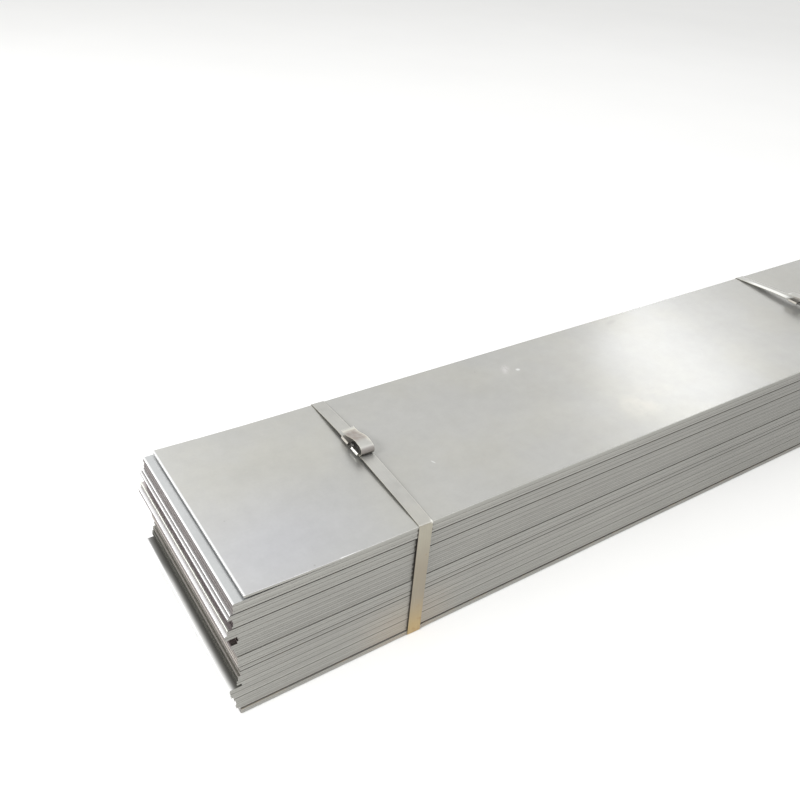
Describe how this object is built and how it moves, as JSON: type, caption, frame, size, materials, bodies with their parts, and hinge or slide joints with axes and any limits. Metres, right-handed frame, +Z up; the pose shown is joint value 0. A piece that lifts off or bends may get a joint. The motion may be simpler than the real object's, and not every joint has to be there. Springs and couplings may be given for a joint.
{
  "type": "strapped steel plate bundle",
  "caption": "Flat rectangular steel plates stacked face to face in a bundle, bound by flat steel straps that are closed on top with crimped seals and curled strap ends.",
  "frame": {"origin": "middle of the bundle's underside, level with the undersides of the straps", "axes": "+X along the plates' length, away from the end that the picture shows, +Y across the plates to the far side, +Z up through the stack"},
  "size_m": [2.4796, 0.4784, 0.348],
  "materials": {
    "plate": "satin mill-finish steel with sheared edges",
    "strap": "steel strapping with a faint rust stain",
    "seal": "bright crimped sheet steel"
  },
  "bodies": {
    "root": {"plate_01": "plate", "plate_02": "plate", "plate_03": "plate", "plate_04": "plate", "plate_05": "plate", "plate_06": "plate", "plate_07": "plate", "plate_08": "plate", "plate_09": "plate", "plate_10": "plate", "plate_11": "plate", "plate_12": "plate", "plate_13": "plate", "plate_14": "plate", "plate_15": "plate", "plate_16": "plate", "plate_17": "plate", "plate_18": "plate", "plate_19": "plate", "plate_20": "plate", "plate_21": "plate", "plate_22": "plate", "plate_23": "plate", "plate_24": "plate", "plate_25": "plate", "plate_26": "plate", "plate_27": "plate", "plate_28": "plate", "plate_29": "plate", "plate_30": "plate", "plate_31": "plate", "plate_32": "plate", "plate_33": "plate", "plate_34": "plate", "plate_35": "plate", "plate_36": "plate", "plate_37": "plate", "plate_38": "plate", "plate_39": "plate", "plate_40": "plate", "plate_41": "plate", "plate_42": "plate", "plate_43": "plate", "plate_44": "plate", "plate_45": "plate", "plate_46": "plate", "plate_47": "plate", "plate_48": "plate", "plate_49": "plate", "plate_50": "plate", "plate_51": "plate", "plate_52": "plate", "strap_left": "strap", "seal_left": "seal", "strap_right": "strap", "seal_right": "seal"}
  },
  "joints": []
}
